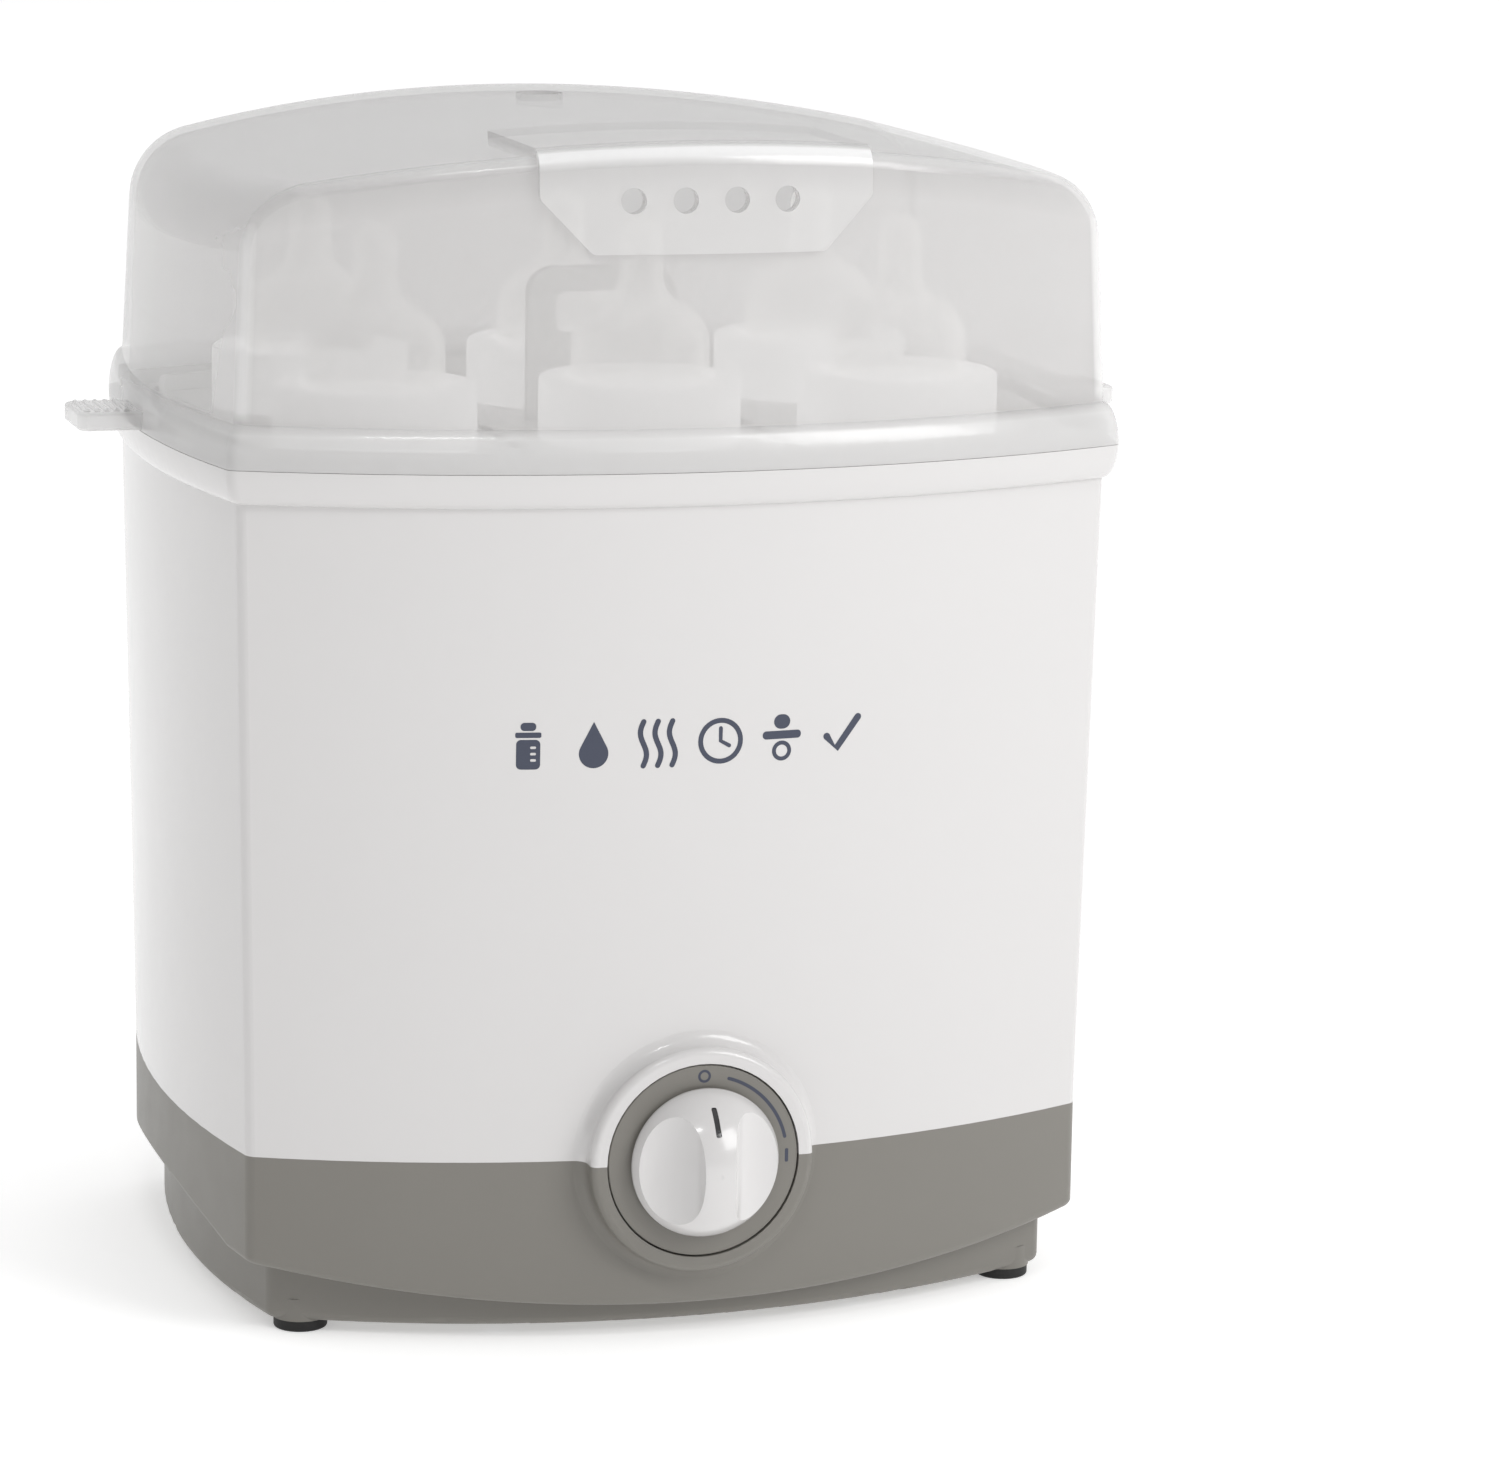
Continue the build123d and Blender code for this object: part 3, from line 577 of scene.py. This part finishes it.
class SterilizerLook(bpy.types.PropertyGroup):
    """Colours and sizes of the finishes and printed details."""

    body_colour: bpy.props.FloatVectorProperty(
        name="Body", description="White of the shell and dial", subtype="COLOR", size=3,
        min=0.0, max=1.0, default=(0.655, 0.643, 0.639))
    base_colour: bpy.props.FloatVectorProperty(
        name="Base", description="Warm grey of the base and bezel", subtype="COLOR", size=3,
        min=0.0, max=1.0, default=(0.205, 0.195, 0.175))
    lid_colour: bpy.props.FloatVectorProperty(
        name="Lid", description="Tint of the frosted lid", subtype="COLOR", size=3,
        min=0.0, max=1.0, default=(0.70, 0.686, 0.68))
    lid_opacity: bpy.props.FloatProperty(
        name="Lid opacity", description="Share of the light that the lid scatters",
        subtype="FACTOR", min=0.1, max=1.0, default=0.42)
    edge_opacity: bpy.props.FloatProperty(
        name="Lid edge opacity", description="How much more light the lid's edges scatter",
        subtype="FACTOR", min=0.0, max=0.6, default=0.4)
    print_colour: bpy.props.FloatVectorProperty(
        name="Print", description="Ink of the pictograms and dial marks", subtype="COLOR", size=3,
        min=0.0, max=1.0, default=(0.045, 0.053, 0.085))
    print_pitch: bpy.props.FloatProperty(
        name="Print pitch", description="Distance from one pictogram to the next",
        unit="LENGTH", subtype="DISTANCE", min=0.015, max=0.03, default=0.0202)
    print_shift: bpy.props.FloatProperty(
        name="Print shift", description="How far right of the middle the row of pictograms stands",
        unit="LENGTH", subtype="DISTANCE", min=-0.03, max=0.03, default=-0.005)
    print_height: bpy.props.FloatProperty(
        name="Print height", description="Height of the row of pictograms above the surface it stands on",
        unit="LENGTH", subtype="DISTANCE", min=0.1, max=0.25, default=0.194)
    mark_radius: bpy.props.FloatProperty(
        name="Mark radius", description="Distance of the dial marks from the dial's axis",
        unit="LENGTH", subtype="DISTANCE", min=0.025, max=0.03, default=0.0274)


class SterilizerStage(bpy.types.PropertyGroup):
    """Camera and light."""

    azimuth: bpy.props.FloatProperty(
        name="Azimuth", description="Camera's turn to the left of the dial's axis",
        unit="ROTATION", subtype="ANGLE", default=math.radians(16.98))
    elevation: bpy.props.FloatProperty(
        name="Elevation", description="Camera's angle above the horizon",
        unit="ROTATION", subtype="ANGLE", default=math.radians(11.42))
    roll: bpy.props.FloatProperty(
        name="Roll", description="Camera's turn about its own axis",
        unit="ROTATION", subtype="ANGLE", default=math.radians(0.9))
    distance: bpy.props.FloatProperty(
        name="Distance", description="From the camera to the point it looks at",
        unit="LENGTH", subtype="DISTANCE", default=1.847)
    aim_x: bpy.props.FloatProperty(
        name="Aim across", description="How far right of the middle the camera looks",
        unit="LENGTH", subtype="DISTANCE", default=0.0535)
    aim_z: bpy.props.FloatProperty(
        name="Aim height", description="Height of the point that the camera looks at",
        unit="LENGTH", subtype="DISTANCE", default=0.1682)
    lens: bpy.props.FloatProperty(
        name="Lens", description="Focal length on a 36 mm sensor", unit="CAMERA", default=131.8)
    key_power: bpy.props.FloatProperty(
        name="Key light", description="Power of the large light at the right", unit="POWER", default=22.0)
    edge_power: bpy.props.FloatProperty(
        name="Edge light", description="Power of the small light above the lid", unit="POWER", default=5.0)


# ---------------------------------------------------------------- operators

class PieceOperator(bpy.types.Operator):
    """Base of the operators that finish one group of pieces."""

    bl_options = {"REGISTER", "UNDO"}
    node_names = ()

    def execute(self, context):
        paint(self.node_names, finishes_of(context.scene.sterilizer_look))
        return {"FINISHED"}


class STERILIZER_OT_base(PieceOperator):
    """Grey base, its cover, screws, feet and cord gland"""

    bl_idname = "sterilizer.base"
    bl_label = "Base"
    node_names = ("base_housing", "base_cover", "cover_screws", "tub_screws", "cord_gland",
                  "foot_front_left", "foot_front_right", "foot_rear_left", "foot_rear_right")


class STERILIZER_OT_shell(PieceOperator):
    """White shell and the liner that hangs in it"""

    bl_idname = "sterilizer.shell"
    bl_label = "Shell and liner"
    node_names = ("body_shell", "chamber_tub")


class STERILIZER_OT_heater(PieceOperator):
    """Heating plate and what clamps, heats and guards it"""

    bl_idname = "sterilizer.heater"
    bl_label = "Heater"
    node_names = ("heating_plate", "heater_gasket", "plate_clamp", "clamp_screws",
                  "heating_element", "thermostat", "thermal_fuse")


class STERILIZER_OT_wiring(PieceOperator):
    """Rotary switch, its bracket, the terminal block and the leads"""

    bl_idname = "sterilizer.wiring"
    bl_label = "Switch and wiring"
    node_names = ("rotary_switch", "switch_bracket", "switch_screws", "terminal_block",
                  "terminal_screws", "live_lead", "switch_lead", "heater_lead",
                  "neutral_lead", "earth_lead")


class STERILIZER_OT_dial(PieceOperator):
    """Bezel, dial, pointer and shaft, with the marks printed on the bezel"""

    bl_idname = "sterilizer.dial"
    bl_label = "Dial"
    node_names = ("dial_bezel", "control_dial", "dial_pointer", "switch_shaft")

    def execute(self, context):
        super().execute(context)
        look = context.scene.sterilizer_look
        marks = dial_marks(look.mark_radius / MM)
        piece = lay_on_front("dial_marks", marks, nodes["dial_bezel"], 0.0, dial_z, 0.04 * MM, "base")
        piece.data.materials.append(ink("mark_ink", tuple(look.print_colour)))
        return {"FINISHED"}


class STERILIZER_OT_racks(PieceOperator):
    """Bottle rack, its grip, the teat rack and the teats and collars on it"""

    bl_idname = "sterilizer.racks"
    bl_label = "Racks and load"
    node_names = ("bottle_rack", "rack_grip", "teat_rack",
                  *(f"{kind}_{i}" for i in range(1, 7) for kind in ("collar", "teat")))


class STERILIZER_OT_lid(PieceOperator):
    """Frosted lid"""

    bl_idname = "sterilizer.lid"
    bl_label = "Lid"
    node_names = ("lid_cover",)


class STERILIZER_OT_pictograms(bpy.types.Operator):
    """Row of plain pictograms printed on the front"""

    bl_idname = "sterilizer.pictograms"
    bl_label = "Pictograms"
    bl_options = {"REGISTER", "UNDO"}

    def execute(self, context):
        look = context.scene.sterilizer_look
        icons = (bottle_icon, drop_icon, steam_icon, clock_icon, soother_icon, tick_icon)
        pitch = look.print_pitch / MM
        outlines = []
        for i, icon in enumerate(icons):
            outlines += icon((i - (len(icons) - 1) / 2) * pitch)
        piece = lay_on_front("front_pictograms", outlines, nodes["body_shell"], look.print_shift,
                             look.print_height, 0.05 * MM, "base")
        piece.data.materials.append(ink("print_ink", tuple(look.print_colour)))
        return {"FINISHED"}


class STERILIZER_OT_stage(bpy.types.Operator):
    """Floor, light and camera"""

    bl_idname = "sterilizer.stage"
    bl_label = "Stage"
    bl_options = {"REGISTER", "UNDO"}

    def execute(self, context):
        stage = context.scene.sterilizer_stage
        lay_floor()
        light_surround(context.scene)
        area_light("key_light", (1.3, -1.7, 1.4), 1.1, 1.1, stage.key_power)
        area_light("edge_light", (-0.5, -1.5, 2.1), 0.5, 0.2, stage.edge_power)
        aim_camera(context.scene, stage)
        context.scene.view_settings.view_transform = "Standard"
        return {"FINISHED"}


piece_operators = (
    STERILIZER_OT_base, STERILIZER_OT_shell, STERILIZER_OT_heater, STERILIZER_OT_wiring,
    STERILIZER_OT_dial, STERILIZER_OT_racks, STERILIZER_OT_lid, STERILIZER_OT_pictograms,
    STERILIZER_OT_stage,
)


class STERILIZER_PT_panel(bpy.types.Panel):
    """Sidebar panel with every operator and its settings"""

    bl_label = "Steam Sterilizer"
    bl_idname = "STERILIZER_PT_panel"
    bl_space_type = "VIEW_3D"
    bl_region_type = "UI"
    bl_category = "Sterilizer"

    def draw(self, context):
        column = self.layout.column(align=True)
        for operator in piece_operators:
            column.operator(operator.bl_idname)
        for group in (context.scene.sterilizer_look, context.scene.sterilizer_stage):
            box = self.layout.box()
            for name in type(group).__annotations__:
                box.prop(group, name)


classes = (SterilizerLook, SterilizerStage, *piece_operators, STERILIZER_PT_panel)


def register():
    for each in classes:
        bpy.utils.register_class(each)
    bpy.types.Scene.sterilizer_look = bpy.props.PointerProperty(type=SterilizerLook)
    bpy.types.Scene.sterilizer_stage = bpy.props.PointerProperty(type=SterilizerStage)


def unregister():
    del bpy.types.Scene.sterilizer_stage
    del bpy.types.Scene.sterilizer_look
    for each in reversed(classes):
        bpy.utils.unregister_class(each)


def main():
    register()
    for operator in piece_operators:
        group, name = operator.bl_idname.split(".")
        getattr(getattr(bpy.ops, group), name)()


if __name__ == "__main__":
    main()
